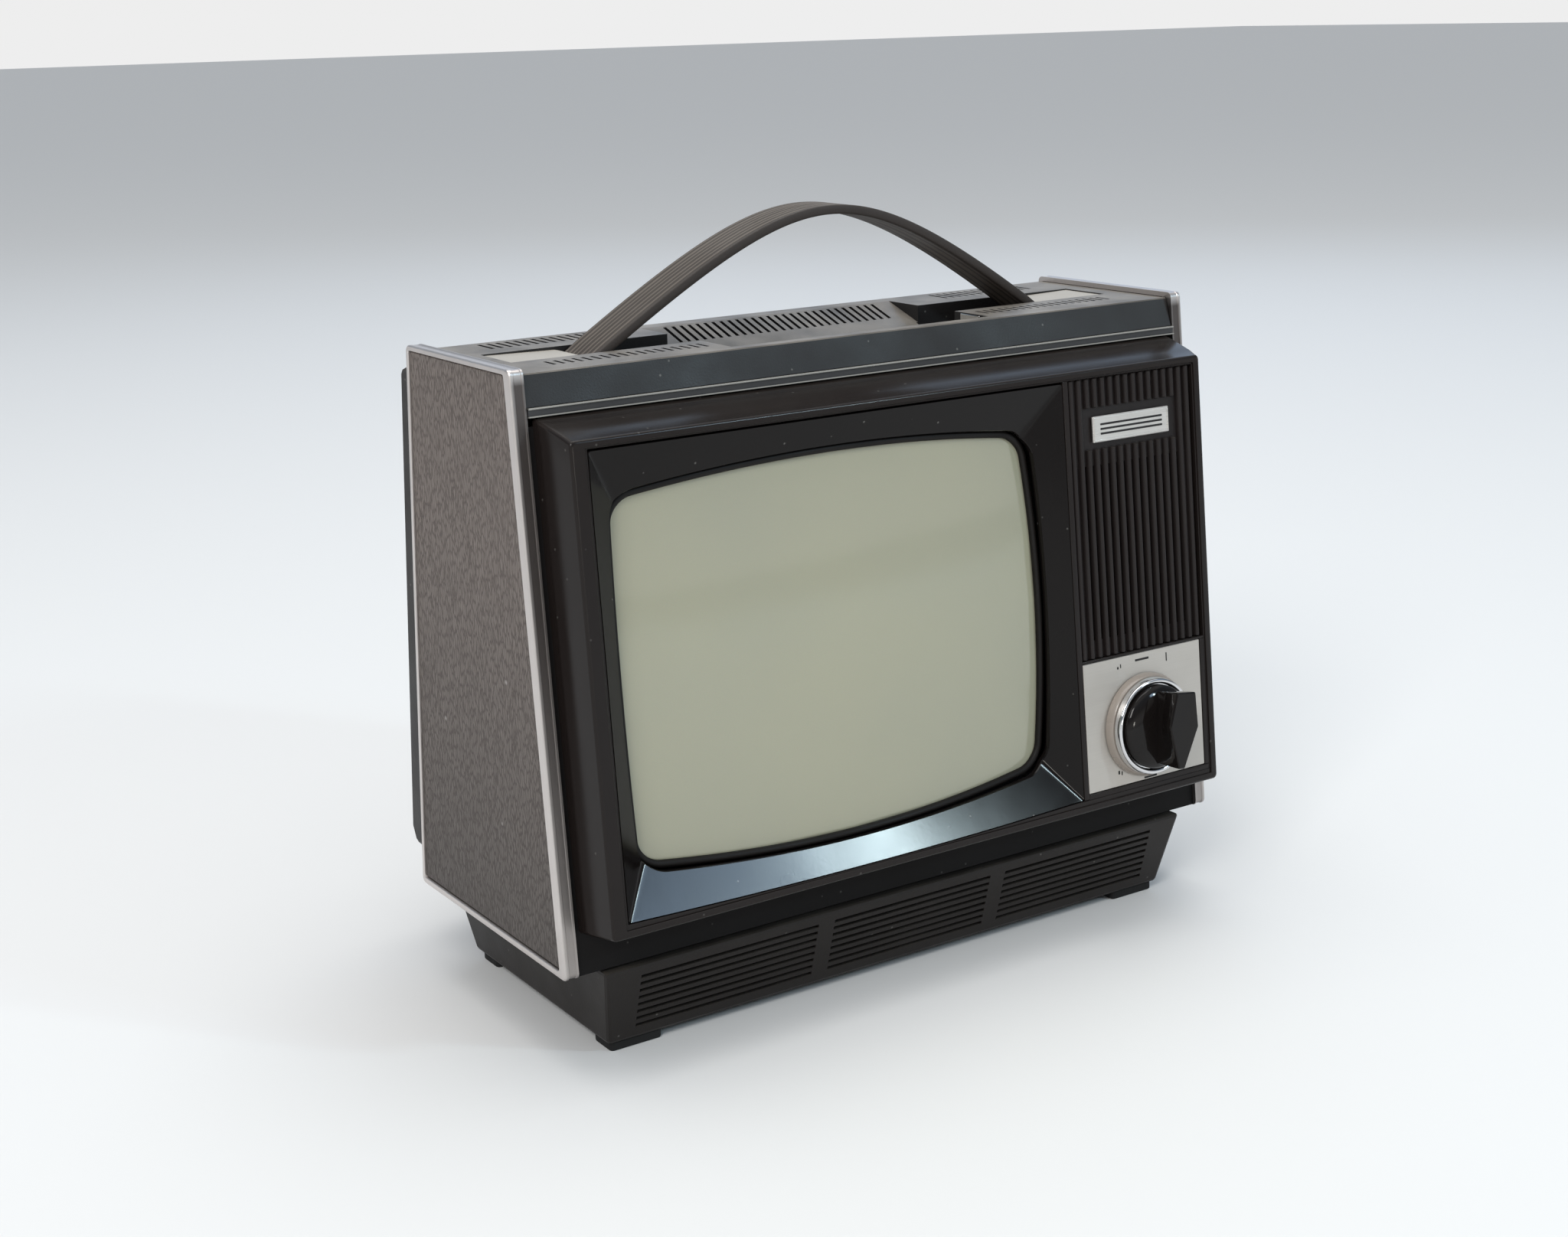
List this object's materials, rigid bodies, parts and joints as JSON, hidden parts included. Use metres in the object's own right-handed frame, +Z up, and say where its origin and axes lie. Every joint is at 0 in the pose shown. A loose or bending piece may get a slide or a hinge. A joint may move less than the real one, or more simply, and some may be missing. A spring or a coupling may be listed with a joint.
{
  "type": "portable television",
  "caption": "Portable television with a sloping front, screen at the left, ribbed speaker grille and turret selector at the right, a carrying strap and a louvred base.",
  "frame": {"origin": "middle of the outline seen from above, on the plane the feet stand on", "axes": "+X to the right seen from the front, -Y out of the screen, +Z up"},
  "size_m": [0.416, 0.292, 0.4001],
  "materials": {
    "top_plate": "grained grey-brown",
    "body_plastic": "satin black",
    "bezel_plastic": "polished dark brown-black",
    "mask_plastic": "polished black",
    "gasket": "matt black",
    "screen_glass": "polished glass over grey-green phosphor",
    "leatherette": "fine grained brown-grey vinyl",
    "aluminium_trim": "satin anodised",
    "ledge": "light grey satin",
    "grille_plastic": "satin dark brown",
    "name_plate": "brushed silver, blank",
    "control_plate": "brushed silver",
    "knob_gloss": "glossy black",
    "skirt_ivory": "ivory, slightly translucent",
    "chrome": "bright chrome",
    "steel": "zinc plated",
    "band_steel": "bare steel",
    "copper_winding": "enamelled copper wire",
    "ferrite": "dull sintered ferrite",
    "phenolic": "brown phenolic",
    "board": "paper laminate with components",
    "tinplate": "bright tinplate",
    "laminations": "varnished steel laminations",
    "line_black": "moulded black",
    "cone_paper": "felted black paper",
    "basket_steel": "zinc plated pressing",
    "rear_plastic": "grained dark plastic",
    "base_plastic": "satin black",
    "foot_rubber": "matt black",
    "strap_vinyl": "ribbed soft vinyl, dark grey-brown",
    "guide_beige": "beige satin",
    "clip_bright": "bright plated",
    "rear_knob": "black satin",
    "inlet_black": "black",
    "nickel": "dull nickel",
    "screw_zinc": "zinc plated"
  },
  "bodies": {
    "cabinet": {"aerial_socket": "nickel", "base_stand": "base_plastic", "bezel": "bezel_plastic", "body_shell": "body_plastic", "control_plate": "control_plate", "cover_screw_1": "screw_zinc", "cover_screw_2": "screw_zinc", "cover_screw_3": "screw_zinc", "cover_screw_4": "screw_zinc", "deflection_coils": "copper_winding", "earphone_socket": "nickel", "foot_front_left": "foot_rubber", "foot_front_right": "foot_rubber", "foot_rear_left": "foot_rubber", "foot_rear_right": "foot_rubber", "front_frame": "body_plastic", "ledge_strip": "ledge", "line_transformer": "line_black", "main_board": "board", "mains_inlet": "inlet_black", "mains_transformer": "laminations", "name_plate": "name_plate", "picture_tube": "screen_glass", "rear_cover": "rear_plastic", "screen_gasket": "gasket", "screen_mask": "mask_plastic", "side_panel_left": "leatherette", "side_panel_right": "leatherette", "side_trim_left": "aluminium_trim", "side_trim_right": "aluminium_trim", "speaker_basket": "basket_steel", "speaker_cone": "cone_paper", "speaker_grille": "grille_plastic", "speaker_magnet": "ferrite", "strap_clip_left": "clip_bright", "strap_clip_right": "clip_bright", "strap_guide_left": "guide_beige", "strap_guide_right": "guide_beige", "strap_handle": "strap_vinyl", "tension_band": "band_steel", "top_cover": "top_plate", "tube_socket": "phenolic", "tuner_can": "tinplate", "yoke_core": "ferrite"},
    "selector": {"selector_knob": "knob_gloss", "chrome_ring": "chrome", "selector_shaft": "steel"},
    "tuning": {"tuning_skirt": "skirt_ivory"},
    "volume": {"volume_knob": "rear_knob"},
    "brightness": {"brightness_knob": "rear_knob"},
    "contrast": {"contrast_knob": "rear_knob"},
    "frame_hold": {"frame_hold_knob": "rear_knob"},
    "power_rocker": {"power_switch": "rear_knob"}
  },
  "joints": [
    {"name": "channel_selector", "type": "hinge", "parent": "cabinet", "child": "selector", "pos_m": [0.1425, -0.11415, 0.11494], "axis": [0, -0.996, 0.0891], "continuous": true},
    {"name": "fine_tuning", "type": "hinge", "parent": "cabinet", "child": "tuning", "pos_m": [0.1425, -0.11415, 0.11494], "axis": [0, -0.996, 0.0891], "range_deg": [-135, 135]},
    {"name": "volume_turn", "type": "hinge", "parent": "cabinet", "child": "volume", "pos_m": [0.06, 0.11027, 0.13492], "axis": [0, 0.9961, 0.0879], "range_deg": [-140, 140]},
    {"name": "brightness_turn", "type": "hinge", "parent": "cabinet", "child": "brightness", "pos_m": [0.084, 0.11027, 0.13492], "axis": [0, 0.9961, 0.0879], "range_deg": [-140, 140]},
    {"name": "contrast_turn", "type": "hinge", "parent": "cabinet", "child": "contrast", "pos_m": [0.108, 0.11027, 0.13492], "axis": [0, 0.9961, 0.0879], "range_deg": [-140, 140]},
    {"name": "frame_hold_turn", "type": "hinge", "parent": "cabinet", "child": "frame_hold", "pos_m": [0.132, 0.11027, 0.13492], "axis": [0, 0.9961, 0.0879], "range_deg": [-140, 140]},
    {"name": "power_rocker_tilt", "type": "hinge", "parent": "cabinet", "child": "power_rocker", "pos_m": [0.142, 0.11098, 0.09282], "axis": [1, 0, 0], "range_deg": [0, 7]}
  ]
}
